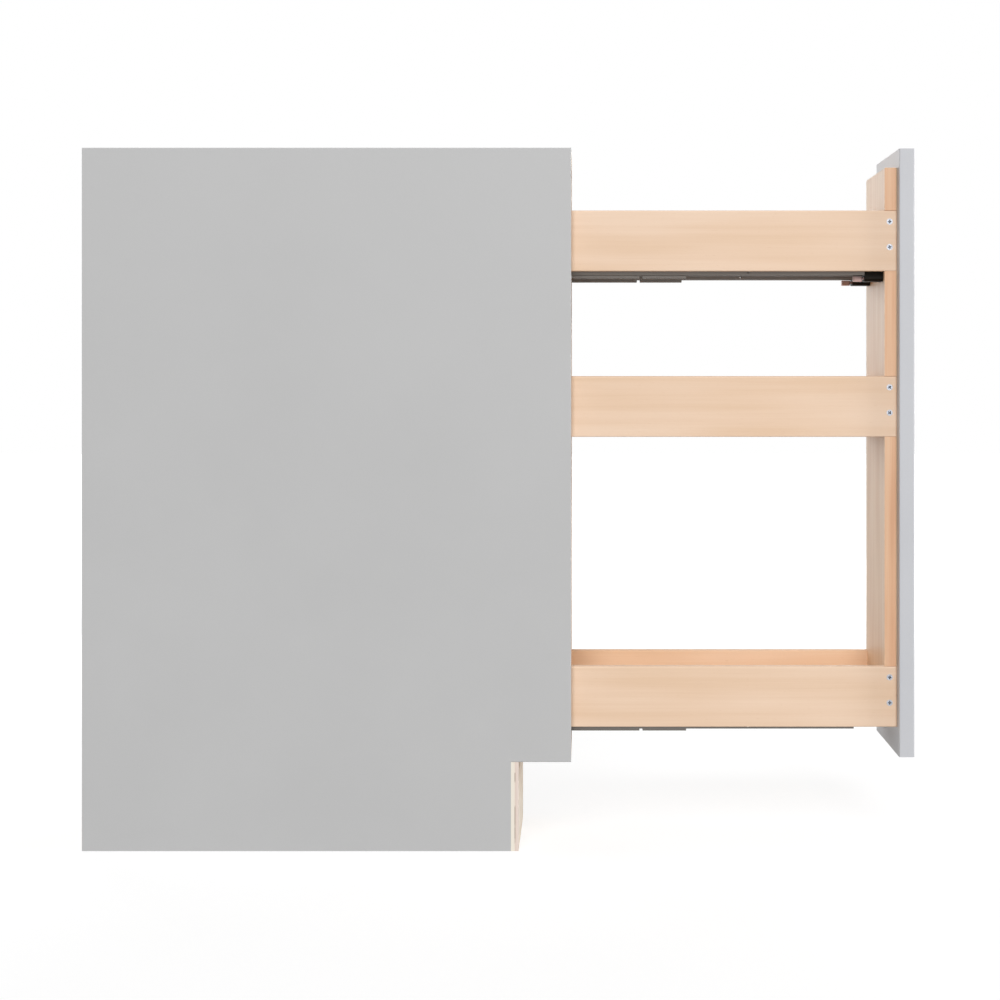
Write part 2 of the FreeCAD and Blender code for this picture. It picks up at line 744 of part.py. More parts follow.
def pullout_fasteners():
    every_tray_screw = tray_screws(TRAYS, [FRONT_END, REAR_END], [LEFT, RIGHT])
    finished(group("tray_screws", every_tray_screw), "tray_screws")
    finished(group("front_screws", front_screws()), "front_screws")
    finished(group("clip_screws", clip_screws([LEFT, RIGHT])), "clip_screws")


# Slides: the drawer rail wraps the middle rail, which wraps the head of the fixed rail. Lips under the
# shoulders hold each rail down, and rollers in cages carry the load between the webs.

def rail_body(label, slide, rear):
    return new_body(label, "-rail_centre", rear, slide + "_level")


def fixed_rail(slide):
    body = rail_body(slide + "_fixed_rail_blank", slide, "fixed_rail_rear")
    wall = "-wall_offset"
    flange_face = "sheet_thickness - wall_offset"
    neck = "fixed_neck_width / 2"
    head = "fixed_head_width / 2"
    neck_inside = "fixed_neck_width / 2 - sheet_thickness"
    head_inside = "fixed_head_width / 2 - sheet_thickness"
    head_web = "head_top - sheet_thickness"
    shoulder_inside = "head_shoulder + sheet_thickness"
    low = "-fixed_rail_drop"
    right = [("fixed_foot_width", low), ("fixed_foot_width", "shelf_top"), (neck, "shelf_top"),
             (neck, "head_shoulder"), (head, "head_shoulder"), (head, "head_top")]
    left = [("-" + head, "head_top"), ("-" + head, "head_shoulder"), ("-" + neck, "head_shoulder"),
            ("-" + neck, "shelf_top"), (flange_face, "shelf_top"), (flange_face, "wall_flange_height"),
            (wall, "wall_flange_height"), (wall, low)]
    hollow = [("-(%s)" % neck_inside, low), ("-(%s)" % neck_inside, shoulder_inside),
              ("-(%s)" % head_inside, shoulder_inside), ("-(%s)" % head_inside, head_web),
              (head_inside, head_web), (head_inside, shoulder_inside), (neck_inside, shoulder_inside),
              (neck_inside, low)]
    pad(body, draw_outline(sketch_on(body, "XZ_Plane"), right + left + hollow), "runner_length")
    flange = sketch_on(body, "XZ_Plane")
    draw_outline(flange, rectangle(wall, low, flange_face, "wall_flange_height"))
    pad(body, flange, "fixed_rail_length")
    rail = drilled(slide + "_left_fixed_rail", body, rail_screws([LEFT], PLAY))
    opposite(slide + "_right_fixed_rail", rail)


def middle_rail(slide):
    body = rail_body(slide + "_middle_rail_blank", slide, "middle_rail_rear")
    outside = "middle_rail_width / 2"
    inside = "middle_rail_width / 2 - sheet_thickness"
    neck = "middle_neck_width / 2"
    neck_inside = "middle_neck_width / 2 - sheet_thickness"
    lip_end = "fixed_neck_width / 2 + lip_gap"
    shoulder_inside = "middle_shoulder + sheet_thickness"
    section = both_halves([
        (outside, "middle_top"), (outside, "middle_shoulder"), (neck, "middle_shoulder"),
        (neck, "-middle_rail_drop"), (lip_end, "-middle_rail_drop"), (lip_end, "middle_lip"),
        (neck_inside, "middle_lip"), (neck_inside, shoulder_inside), (inside, shoulder_inside),
        (inside, "middle_web")])
    pad(body, draw_outline(sketch_on(body, "XZ_Plane"), section), "middle_rail_length")
    bends = [(hand + "middle_rail_width / 2", None, "middle_top") for hand in ("", "-")]
    bends += [(hand + "middle_neck_width / 2", None, "-middle_rail_drop") for hand in ("", "-")]
    round_edges(body, bends, "bend_radius")
    front = value("middle_rail_rear - middle_rail_length + notch_setback - notch_width / 2")
    low = value(slide + "_level - middle_rail_drop") - HOLE_OVERRUN
    width = value("middle_rail_width")
    notch = Part.makeBox(width, value("notch_width"), value("notch_height") + HOLE_OVERRUN,
                         FreeCAD.Vector(-value("rail_centre") - width / 2, front, low))
    rail = drilled(slide + "_left_middle_rail", body, [notch])
    opposite(slide + "_right_middle_rail", rail)


def drawer_rail(slide):
    """Inverted channel with a hook on the rear upright and a tongue in the clip or the front upright."""
    body = rail_body(slide + "_drawer_rail_blank", slide, "drawer_rail_rear")
    outside = "drawer_rail_width / 2"
    inside = "drawer_rail_width / 2 - sheet_thickness"
    lip_end = "middle_neck_width / 2 + lip_gap"
    section = both_halves([
        (outside, "floor_recess"), (outside, "-drawer_rail_drop"), (lip_end, "-drawer_rail_drop"),
        (lip_end, "drawer_lip"), (inside, "drawer_lip"), (inside, "drawer_web")])
    pad(body, draw_outline(sketch_on(body, "XZ_Plane"), section), slide + "_rail_length")
    bends = [(hand + "drawer_rail_width / 2", None, level) for hand in ("", "-")
             for level in ("floor_recess", "-drawer_rail_drop")]
    round_edges(body, bends, "bend_radius")
    outline = rectangle("-tongue_width / 2", "drawer_web", "tongue_width / 2", "floor_recess")
    tongue = draw_outline(sketch_on(body, "XZ_Plane"), outline)
    pad(body, tongue, slide + "_tongue_reach")
    outline = rectangle("-hook_width / 2", "drawer_web", "hook_width / 2", "hook_level + hook_crown")
    hook = draw_outline(sketch_on(body, "XZ_Plane"), outline)
    pad(body, hook, "sheet_thickness")
    pin = draw_circle(sketch_on(body, "XZ_Plane"), "0", "hook_level", "hook_pin_diameter / 2")
    pad(body, pin, "sheet_thickness + hook_gap + hook_pin_length")
    spot = FreeCAD.Vector(-value("rail_centre + drawer_rail_width"),
                          value("clip_rear + rail_hole_setback"),
                          value(slide + "_level - rail_hole_level"))
    hole = rod("rail_hole_diameter", 2 * value("drawer_rail_width"), spot, (1, 0, 0))
    rail = drilled(slide + "_left_drawer_rail", body, [hole])
    opposite(slide + "_right_drawer_rail", rail)


def roller_cage(slide, place, section, length, rear, level, roller_length):
    """A moulded cage with a skirt on each side of the rail and a row of rollers in its windows."""
    body = rail_body("%s_%s_cage_blank" % (slide, place), slide, rear)
    pad(body, draw_outline(sketch_on(body, "XZ_Plane"), both_halves(section)), length)
    radius = value("roller_gap / 2 - roller_play")
    window = radius + value("roller_window_play")
    long_window = value(roller_length) + 2 * value("roller_window_play")
    height = value(slide + "_level") + value(level)
    span = value(length) - 2 * value("roller_end_margin")
    rollers, windows = [], []
    for step in range(ROLLERS_PER_CAGE):
        along = value(rear) - value("roller_end_margin") - span * step / (ROLLERS_PER_CAGE - 1)
        side = -value("rail_centre") - value(roller_length) / 2
        spot = FreeCAD.Vector(side, along, height)
        rollers.append(placed(Part.makeCylinder(radius, value(roller_length)), spot, (1, 0, 0)))
        corner = FreeCAD.Vector(side - value("roller_window_play"), along - window, height - radius)
        windows.append(Part.makeBox(long_window, 2 * window, 2 * radius, corner))
    strip = doc.addObject("Part::Cut", "%s_%s_cage_strip" % (slide, place))
    strip.Base = body
    strip.Tool = group("%s_%s_cage_windows" % (slide, place), windows)
    cage = doc.addObject("Part::Compound", "%s_%s_cage" % (slide, place))
    cage.Links = [strip, group("%s_%s_rollers" % (slide, place), rollers)]
    left = finished(cage, "%s_left_%s_cage" % (slide, place))
    opposite("%s_right_%s_cage" % (slide, place), left)


def roller_cages(slide):
    middle = "middle_top + roller_gap / 2"
    outside = "drawer_rail_width / 2 - sheet_thickness - cage_play"
    inside = "middle_rail_width / 2 + cage_play"
    top = middle + " + cage_thickness / 2"
    under = middle + " - cage_thickness / 2"
    foot = middle + " - inner_skirt_height"
    section = [(outside, top), (outside, foot), (inside, foot), (inside, under)]
    roller_cage(slide, "inner", section, "inner_cage_end - inner_cage_start", "inner_cage_rear", middle,
                "inner_roller_length")
    middle = "head_top + roller_gap / 2"
    outside = "middle_rail_width / 2 - sheet_thickness - cage_play"
    inside = "fixed_head_width / 2 + cage_play"
    top = middle + " + cage_thickness / 2"
    under = middle + " - cage_thickness / 2"
    foot = middle + " - outer_skirt_height"
    section = [(outside, top), (outside, foot), (inside, foot), (inside, under)]
    roller_cage(slide, "outer", section, "outer_cage_end - outer_cage_start", "outer_cage_rear", middle,
                "outer_roller_length")


# Locking clips of the upper slides, under the front of the top tray

def clip():
    body = rail_body("clip_blank", "upper", "clip_rear")
    groove = "tongue_width / 2 + tongue_play"
    groove_floor = "drawer_web - tongue_play"
    face = both_halves([
        (groove, groove_floor), (groove, "floor_recess"), ("clip_half", "floor_recess"),
        ("clip_half", "clip_chamfer - clip_drop"), ("clip_half - clip_chamfer", "-clip_drop")])
    pad(body, draw_outline(sketch_on(body, "XZ_Plane"), face), "clip_length")
    side = "lever_slot_width / 2"
    slot_top = "lever_slot_base + lever_thickness + 2 * lever_play"
    outline = rectangle("-" + side, "lever_slot_base", side, slot_top)
    slot = draw_outline(sketch_on(body, "XZ_Plane"), outline)
    pocket(body, slot, "lever_pivot_depth + lever_eye_radius + lever_eye_play", along_normal=True)
    pin = sketch_on(body, "XY_Plane", "lever_slot_base - lever_floor / 2")
    draw_circle(pin, "0", "-lever_pivot_depth", "lever_pin_diameter / 2")
    pad(body, pin, "lever_thickness + 2 * lever_play + lever_floor")
    head_room = value("clip_length - clip_screw_grip")
    left = drilled("upper_left_clip", body, clip_screws([LEFT], PLAY, head_room))
    opposite("upper_right_clip", left)


def clip_lever():
    """Flat arm on a pin in the clip, with a thick finger tab behind it."""
    body = new_body("lever_blank", "-rail_centre", "lever_pivot", "upper_level")
    eye = draw_circle(sketch_on(body, "XY_Plane", "lever_base"), "0", "0", "lever_eye_radius")
    pad(body, eye, "lever_thickness")
    tab_start = "lever_pivot_depth + lever_tab_gap"
    tab_end = tab_start + " + lever_tab_length"
    arm = sketch_on(body, "XY_Plane", "lever_base")
    draw_outline(arm, rectangle("-lever_arm_width / 2", "0", "lever_arm_width / 2", tab_end))
    pad(body, arm, "lever_thickness")
    tab = sketch_on(body, "XY_Plane", "-clip_drop + lever_play")
    draw_outline(tab, rectangle("-lever_tab_width / 2", tab_start, "lever_tab_width / 2", tab_end))
    pad(body, tab, "lever_floor + lever_thickness + lever_tab_lift")
    corners = [(hand + "lever_tab_width / 2", end, None)
               for hand in ("", "-") for end in (tab_start, tab_end)]
    round_edges(body, corners, "lever_tab_radius")
    hole = sketch_on(body, "XY_Plane", "lever_base + lever_thickness")
    draw_circle(hole, "0", "0", "lever_pin_diameter / 2 + lever_pin_play")
    pocket(body, hole, "lever_thickness")
    left = finished(body, "upper_left_clip_lever")
    opposite("upper_right_clip_lever", left)


side_panels()
box_boards()
box_fittings()
framed_front()
uprights()
trays()
pullout_fasteners()
for slide in SLIDES:
    fixed_rail(slide)
    middle_rail(slide)
    drawer_rail(slide)
    roller_cages(slide)
clip()
clip_lever()
doc.recompute()

for thing in doc.Objects:
    if "Invalid" in thing.State or "Error" in thing.State:
        raise ValueError("%s failed: %s" % (thing.Label, thing.State))
for node in nodes:
    if node.Shape.isNull() or not node.Shape.isValid() or not node.Shape.Solids:
        raise ValueError("%s has no valid solid" % node.Label)

os.makedirs("parts", exist_ok=True)
for node in nodes:
    node.Shape.exportStep("parts/%s.step" % node.Label)
print("%d nodes, %d solids" % (len(nodes), sum(len(node.Shape.Solids) for node in nodes)))
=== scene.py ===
import math

import bmesh
import bpy
from mathutils import Matrix, Vector


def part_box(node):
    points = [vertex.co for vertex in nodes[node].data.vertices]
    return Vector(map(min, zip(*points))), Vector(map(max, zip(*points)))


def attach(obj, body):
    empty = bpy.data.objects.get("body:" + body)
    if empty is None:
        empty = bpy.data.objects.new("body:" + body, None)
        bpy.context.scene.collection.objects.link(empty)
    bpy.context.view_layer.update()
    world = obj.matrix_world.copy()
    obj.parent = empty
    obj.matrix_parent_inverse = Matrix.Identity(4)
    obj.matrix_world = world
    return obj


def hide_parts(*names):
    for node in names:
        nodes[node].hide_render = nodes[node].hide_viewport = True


# Spice drawer base cabinet: finishes, screws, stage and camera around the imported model. Metres, +Z up,
# front towards -Y, and the camera looks along +X at the left side of the cabinet.

MM = 0.001

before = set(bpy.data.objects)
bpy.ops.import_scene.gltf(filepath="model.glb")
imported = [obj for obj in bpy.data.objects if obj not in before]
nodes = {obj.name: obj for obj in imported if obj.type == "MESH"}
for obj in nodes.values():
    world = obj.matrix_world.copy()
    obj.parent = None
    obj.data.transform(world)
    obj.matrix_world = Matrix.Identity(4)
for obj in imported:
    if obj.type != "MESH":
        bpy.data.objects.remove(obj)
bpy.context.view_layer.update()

SLIDES = ("upper", "lower")
HANDS = ("left", "right")
TRAYS = ("upper", "middle", "lower")
FRONT = ("front_left_stile", "front_right_stile", "front_top_rail", "front_bottom_rail", "front_panel")

scene = bpy.context.scene
scene.view_settings.view_transform = "Standard"


def new_object(name, data):
    """A new object in the scene, from a mesh, a light or a camera."""
    made = bpy.data.objects.new(name, data)
    scene.collection.objects.link(made)
    return made


# Colours and shader nodes

# A Mix node for colours has its two colours and its result at these places among its sockets.
FIRST, SECOND, MIXED = 6, 7, 2

# Noise mostly lies between these values.
NOISE_LOW, NOISE_HIGH = 0.3, 0.7

# A surface counts as facing along an axis where its normal has more than this share along it.
FACING = 0.7


def linear(hex_colour):
    """Turn an sRGB hex colour into linear red, green, blue and alpha."""
    channels = [int(hex_colour[i:i + 2], 16) / 255 for i in (1, 3, 5)]
    return [c / 12.92 if c <= 0.04045 else ((c + 0.055) / 1.055) ** 2.4 for c in channels] + [1.0]


def fill(tree, node, inputs):
    """Set a node's inputs to constants, or link them to a socket or to another node's first output."""
    for socket, given in inputs.items():
        if isinstance(given, bpy.types.Node):
            given = given.outputs[0]
        if isinstance(given, bpy.types.NodeSocket):
            tree.links.new(given, node.inputs[socket])
        else:
            node.inputs[socket].default_value = given


def add(tree, kind, inputs=None, stops=(), **settings):
    """Add a node with its settings and colour stops, and fill its inputs."""
    node = tree.nodes.new(kind)
    for name, setting in settings.items():
        setattr(node, name, setting)
    fill(tree, node, inputs or {})
    for number, (position, colour) in enumerate(stops):
        marks = node.color_ramp.elements
        mark = marks[number] if number < len(marks) else marks.new(position)
        mark.position = position
        mark.color = linear(colour)
    return node


def surface(name):
    """A new material, its node tree and its Principled shader."""
    material = bpy.data.materials.new(name)
    material.use_nodes = True
    tree = material.node_tree
    return material, tree, tree.nodes["Principled BSDF"]


def per_metre(width, length=None, along=None):
    """Pattern scale from a width in metres, and from a length on the axis that the grain runs along."""
    return [1 / (length if axis == along else width) for axis in "XYZ"]


def faces_along(tree, axis):
    """One where the surface faces along an axis, either way, and zero elsewhere."""
    normal = add(tree, "ShaderNodeTexCoord").outputs["Normal"]
    share = add(tree, "ShaderNodeSeparateXYZ", {0: normal}).outputs[axis]
    size = add(tree, "ShaderNodeMath", {0: share}, operation="ABSOLUTE")
    return add(tree, "ShaderNodeMath", {0: size, 1: FACING}, operation="GREATER_THAN")


def seen_directly(tree):
    """One for what the eye, mirrors and glass see, and zero for light that falls on the object."""
    path = add(tree, "ShaderNodeLightPath")
    seen = add(tree, "ShaderNodeMath", {
        0: path.outputs["Is Camera Ray"], 1: path.outputs["Is Glossy Ray"]}, operation="MAXIMUM")
    return add(tree, "ShaderNodeMath", {
        0: seen, 1: path.outputs["Is Transmission Ray"]}, operation="MAXIMUM")


# Wood. Birch has an even grain: long soft streaks, a broad faint figure, fine fibres and short pores.
# The fibres and pores of the real wood are near 0.1 mm wide, and are drawn coarser so that they show.

STREAK_WIDTH, STREAK_LENGTH = 11 * MM, 520 * MM
FIGURE_WIDTH, FIGURE_LENGTH = 48 * MM, 230 * MM
FIBRE_WIDTH, FIBRE_LENGTH = 1.3 * MM, 90 * MM
PORE_WIDTH, PORE_LENGTH = 0.7 * MM, 7 * MM
FIBRE_HEIGHT = 0.1 * MM

# The pale and the deep end of streaks and figure added up, and of the fibres by themselves
SOFT_PALE, SOFT_DEEP = 0.74, 1.26
FIBRE_PALE, FIBRE_DEEP = 0.45, 0.55

# A pore begins at the first value of its noise and is full at the second, where this share of it shows.
PORE_START, PORE_FULL = 0.68, 0.86
PORE_SHARE = 0.55

LACQUERED_IOR = 1.48
BARE_IOR = 1.45


def birch_figure(tree, along, tones, fibre_share):
    """Colour, fibres and pores of a fine wood with its grain along one axis and tones from pale to deep."""
    spot = add(tree, "ShaderNodeTexCoord").outputs["Object"]
    noise = {}
    for name, width, length, detail in (("streaks", STREAK_WIDTH, STREAK_LENGTH, 3.0),
                                        ("figure", FIGURE_WIDTH, FIGURE_LENGTH, 1.0),
                                        ("fibres", FIBRE_WIDTH, FIBRE_LENGTH, 2.0),
                                        ("pores", PORE_WIDTH, PORE_LENGTH, 1.0)):
        where = add(tree, "ShaderNodeMapping", {
            "Vector": spot, "Scale": per_metre(width, length, along)})
        noise[name] = add(tree, "ShaderNodeTexNoise", {
            "Vector": where, "Scale": 1.0, "Detail": detail, "Roughness": 0.5})
    soft = add(tree, "ShaderNodeMath", {0: noise["streaks"], 1: noise["figure"]}, operation="ADD")
    lines = add(tree, "ShaderNodeMath", {
        0: noise["fibres"], 1: fibre_share, 2: soft}, operation="MULTIPLY_ADD")
    tone = add(tree, "ShaderNodeMapRange", {
        "Value": lines,
        "From Min": SOFT_PALE + FIBRE_PALE * fibre_share,
        "From Max": SOFT_DEEP + FIBRE_DEEP * fibre_share})
    colour = add(tree, "ShaderNodeValToRGB", {"Fac": tone}, zip((0.0, 0.5, 1.0), tones))
    pores = add(tree, "ShaderNodeMapRange", {
        "Value": noise["pores"], "From Min": PORE_START, "From Max": PORE_FULL, "To Max": PORE_SHARE})
    return colour, noise["fibres"], pores


def smooth_wood(name, along, tones, pore, fibre_share=0.25):
    """Birch or beech, sanded and lacquered or pressed smooth: warm wood, soft grain, thin satin film."""
    material, tree, shader = surface(name)
    colour, fibres, pores = birch_figure(tree, along, tones, fibre_share)
    pored = add(tree, "ShaderNodeMix", {
        "Factor": pores, FIRST: colour, SECOND: linear(pore)}, data_type="RGBA")
    gloss = add(tree, "ShaderNodeMapRange", {
        "Value": fibres, "From Min": NOISE_LOW, "From Max": NOISE_HIGH, "To Min": 0.44, "To Max": 0.54})
    relief = add(tree, "ShaderNodeBump", {"Height": fibres, "Strength": 0.08, "Distance": FIBRE_HEIGHT})
    fill(tree, shader, {
        "Base Color": pored.outputs[MIXED], "Roughness": gloss, "Normal": relief,
        "IOR": LACQUERED_IOR, "Coat Weight": 0.08, "Coat Roughness": 0.35})
    return material


def edged_birch(name):
    """Birch board on end, lacquered: pale face veneer, and a warmer striped band glued on its edges."""
    material = smooth_wood(name, "Z", ("#F3DABC", "#ECCFAE", "#E3C29D"), "#D4AF87", fibre_share=0.4)
    tree = material.node_tree
    shader = tree.nodes["Principled BSDF"]
    veneer = shader.inputs["Base Color"].links[0].from_socket
    band, _, _ = birch_figure(tree, "Z", ("#F0C9A7", "#E9BB96", "#DEAB86"), fibre_share=0.5)
    colour = add(tree, "ShaderNodeMix", {
        "Factor": faces_along(tree, "Y"), FIRST: band, SECOND: veneer}, data_type="RGBA")
    fill(tree, shader, {"Base Color": colour.outputs[MIXED]})
    return material


PLY = 1.5 * MM


def lacquered_plywood(name, along, across, low_face):
    """Birch plywood, lacquered: veneer grain on its faces, plies in turn pale and brown on its edges."""
    material, tree, shader = surface(name)
    veneer, fibres, pores = birch_figure(tree, along, ("#EAD4B9", "#E5CCAE", "#DEC19F"), fibre_share=0.25)
    pored = add(tree, "ShaderNodeMix", {
        "Factor": pores, FIRST: veneer, SECOND: linear("#CDA67C")}, data_type="RGBA")
    spot = add(tree, "ShaderNodeTexCoord").outputs["Object"]
    place = add(tree, "ShaderNodeSeparateXYZ", {0: spot}).outputs[across]
    depth = add(tree, "ShaderNodeMath", {0: place, 1: low_face}, operation="SUBTRACT")
    plies = add(tree, "ShaderNodeMath", {0: depth, 1: 1 / PLY}, operation="MULTIPLY")
    turn = add(tree, "ShaderNodeMath", {0: plies, 1: 1.0}, operation="PINGPONG")
    sawn = add(tree, "ShaderNodeValToRGB", {"Fac": turn}, [
        (0.0, "#EAD3B2"), (0.44, "#E3C8A2"), (0.5, "#A9805A"), (0.56, "#C9A377"), (1.0, "#D2AE82")])
    is_face = faces_along(tree, across)
    colour = add(tree, "ShaderNodeMix", {
        "Factor": is_face, FIRST: sawn, SECOND: pored.outputs[MIXED]}, data_type="RGBA")
    gloss = add(tree, "ShaderNodeMapRange", {"Value": is_face, "To Min": 0.78, "To Max": 0.48})
    relief = add(tree, "ShaderNodeBump", {"Height": fibres, "Strength": 0.1, "Distance": FIBRE_HEIGHT})
    fill(tree, shader, {
        "Base Color": colour.outputs[MIXED], "Roughness": gloss, "Normal": relief, "IOR": LACQUERED_IOR})
    return material


SEAM_LENGTH = 13 * MM


def bare_toe_plywood(name):
    """Plywood, sawn and left bare: two thick pale layers with gaps in their seam, and matt veneer faces."""
    low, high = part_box("toe_board")
    material, tree, shader = surface(name)
    veneer, fibres, pores = birch_figure(tree, "X", ("#F4EADB", "#EFE2D0", "#E5D2BC"), fibre_share=0.3)
    spot = add(tree, "ShaderNodeTexCoord").outputs["Object"]
    depth = add(tree, "ShaderNodeSeparateXYZ", {0: spot}).outputs["Y"]
    share = add(tree, "ShaderNodeMapRange", {"Value": depth, "From Min": low.y, "From Max": high.y})
    layers = add(tree, "ShaderNodeValToRGB", {"Fac": share}, [
        (0.0, "#EBDCD2"), (0.42, "#E4D1C6"), (0.5, "#EBDED0"), (0.56, "#F1E8D9"), (1.0, "#F3ECDF")])
    seam = add(tree, "ShaderNodeValToRGB", {"Fac": share}, [
        (0.40, "#000000"), (0.46, "#FFFFFF"), (0.50, "#FFFFFF"), (0.56, "#000000")])
    where = add(tree, "ShaderNodeMapping", {"Vector": spot, "Scale": per_metre(SEAM_LENGTH)})
    patches = add(tree, "ShaderNodeTexNoise", {"Vector": where, "Scale": 1.0, "Detail": 0.0})
    is_open = add(tree, "ShaderNodeMapRange", {
        "Value": patches, "From Min": 0.52, "From Max": 0.64, "To Max": 0.85})
    gap = add(tree, "ShaderNodeMath", {0: seam, 1: is_open}, operation="MULTIPLY")
    sawn = add(tree, "ShaderNodeMix", {
        "Factor": gap, FIRST: layers, SECOND: linear("#9A8474")}, data_type="RGBA")
    colour = add(tree, "ShaderNodeMix", {
        "Factor": faces_along(tree, "Y"), FIRST: sawn.outputs[MIXED], SECOND: veneer}, data_type="RGBA")
    gloss = add(tree, "ShaderNodeMapRange", {"Value": pores, "To Min": 0.72, "To Max": 0.85})
    relief = add(tree, "ShaderNodeBump", {"Height": fibres, "Strength": 0.15, "Distance": FIBRE_HEIGHT})
    fill(tree, shader, {
        "Base Color": colour.outputs[MIXED], "Roughness": gloss, "Normal": relief, "IOR": BARE_IOR})
    return material


# Paint. The orange peel of a sprayed coat is near 1 mm across, and is drawn at twice that to show.

PEEL = 2.0 * MM
PEEL_HEIGHT = 0.1 * MM
PEEL_SHARE = 0.4
CLOUD = 160 * MM

# Place along X times the normal's X, in metres: near -0.1 on the inside of a side, and 0 on its edges
INSIDE = -0.06


def sprayed_paint(name, dark, light):
    """Alkyd paint, sprayed: an even satin grey with a fine orange peel and very faint clouds."""
    material, tree, shader = surface(name)
    spot = add(tree, "ShaderNodeTexCoord").outputs["Object"]
    close = add(tree, "ShaderNodeMapping", {"Vector": spot, "Scale": per_metre(PEEL)})
    peel = add(tree, "ShaderNodeTexNoise", {"Vector": close, "Scale": 1.0, "Detail": 2.0})
    wide = add(tree, "ShaderNodeMapping", {"Vector": spot, "Scale": per_metre(CLOUD)})
    cloud = add(tree, "ShaderNodeTexNoise", {"Vector": wide, "Scale": 1.0, "Detail": 3.0})
    mixed = add(tree, "ShaderNodeMath", {0: peel, 1: PEEL_SHARE, 2: cloud}, operation="MULTIPLY_ADD")
    tone = add(tree, "ShaderNodeMapRange", {
        "Value": mixed, "From Min": NOISE_LOW * (1 + PEEL_SHARE), "From Max": NOISE_HIGH * (1 + PEEL_SHARE)})
    colour = add(tree, "ShaderNodeValToRGB", {"Fac": tone}, [(0.0, dark), (1.0, light)])
    gloss = add(tree, "ShaderNodeMapRange", {
        "Value": cloud, "From Min": NOISE_LOW, "From Max": NOISE_HIGH, "To Min": 0.42, "To Max": 0.5})
    relief = add(tree, "ShaderNodeBump", {"Height": peel, "Strength": 0.05, "Distance": PEEL_HEIGHT})
    fill(tree, shader, {"Base Color": colour, "Roughness": gloss, "Normal": relief, "IOR": 1.5})
    return material


def painted_side(name, dark, light):
    """Plywood side, sprayed grey outside and on its edges, with clear lacquered birch veneer inside."""
    material = sprayed_paint(name, dark, light)
    tree = material.node_tree
    shader = tree.nodes["Principled BSDF"]
    paint = shader.inputs["Base Color"].links[0].from_socket
    veneer, _, _ = birch_figure(tree, "Z", ("#F2E4D0", "#EDDCC5", "#E4CFB2"), fibre_share=0.25)
    spot = add(tree, "ShaderNodeTexCoord")
    place = add(tree, "ShaderNodeSeparateXYZ", {0: spot.outputs["Object"]}).outputs["X"]
    normal = add(tree, "ShaderNodeSeparateXYZ", {0: spot.outputs["Normal"]}).outputs["X"]
    outwards = add(tree, "ShaderNodeMath", {0: place, 1: normal}, operation="MULTIPLY")
    is_inside = add(tree, "ShaderNodeMath", {0: outwards, 1: INSIDE}, operation="LESS_THAN")
    colour = add(tree, "ShaderNodeMix", {
        "Factor": is_inside, FIRST: paint, SECOND: veneer}, data_type="RGBA")
    fill(tree, shader, {"Base Color": colour.outputs[MIXED]})
    return material


# Metal and plastic. Roll marks, plating bloom and the tool's grain are drawn coarser than the real ones,
# so that they show.

ROLL_MARK_WIDTH, ROLL_MARK_LENGTH = 0.8 * MM, 160 * MM
ROLL_MARK_HEIGHT = 0.05 * MM
BLOOM = 1.4 * MM
TOOL_GRAIN = 0.7 * MM
TOOL_GRAIN_HEIGHT = 0.05 * MM


def rolled_steel(name):
    """Galvanised steel strip, roll-formed: dull dark grey metal with drawn lines along the rail."""
    material, tree, shader = surface(name)
    spot = add(tree, "ShaderNodeTexCoord").outputs["Object"]
    where = add(tree, "ShaderNodeMapping", {
        "Vector": spot, "Scale": per_metre(ROLL_MARK_WIDTH, ROLL_MARK_LENGTH, "Y")})
    marks = add(tree, "ShaderNodeTexNoise", {
        "Vector": where, "Scale": 1.0, "Detail": 3.0, "Roughness": 0.6})
    colour = add(tree, "ShaderNodeValToRGB", {"Fac": marks}, [
        (NOISE_LOW, "#726D68"), (NOISE_HIGH, "#827D78")])
    gloss = add(tree, "ShaderNodeMapRange", {
        "Value": marks, "From Min": NOISE_LOW, "From Max": NOISE_HIGH, "To Min": 0.38, "To Max": 0.52})
    relief = add(tree, "ShaderNodeBump", {
        "Height": marks, "Strength": 0.08, "Distance": ROLL_MARK_HEIGHT})
    fill(tree, shader, {"Base Color": colour, "Roughness": gloss, "Normal": relief, "Metallic": 1.0})
    return material


def zinc_plate(name, dark, light):
    """Steel, zinc plated: pale bluish metal with a fine cloudy bloom."""
    material, tree, shader = surface(name)
    spot = add(tree, "ShaderNodeTexCoord").outputs["Object"]
    where = add(tree, "ShaderNodeMapping", {"Vector": spot, "Scale": per_metre(BLOOM)})
    bloom = add(tree, "ShaderNodeTexNoise", {
        "Vector": where, "Scale": 1.0, "Detail": 3.0, "Roughness": 0.6})
    colour = add(tree, "ShaderNodeValToRGB", {"Fac": bloom}, [(NOISE_LOW, dark), (NOISE_HIGH, light)])
    gloss = add(tree, "ShaderNodeMapRange", {
        "Value": bloom, "From Min": NOISE_LOW, "From Max": NOISE_HIGH, "To Min": 0.3, "To Max": 0.44})
    fill(tree, shader, {"Base Color": colour, "Roughness": gloss, "Metallic": 1.0})
    return material


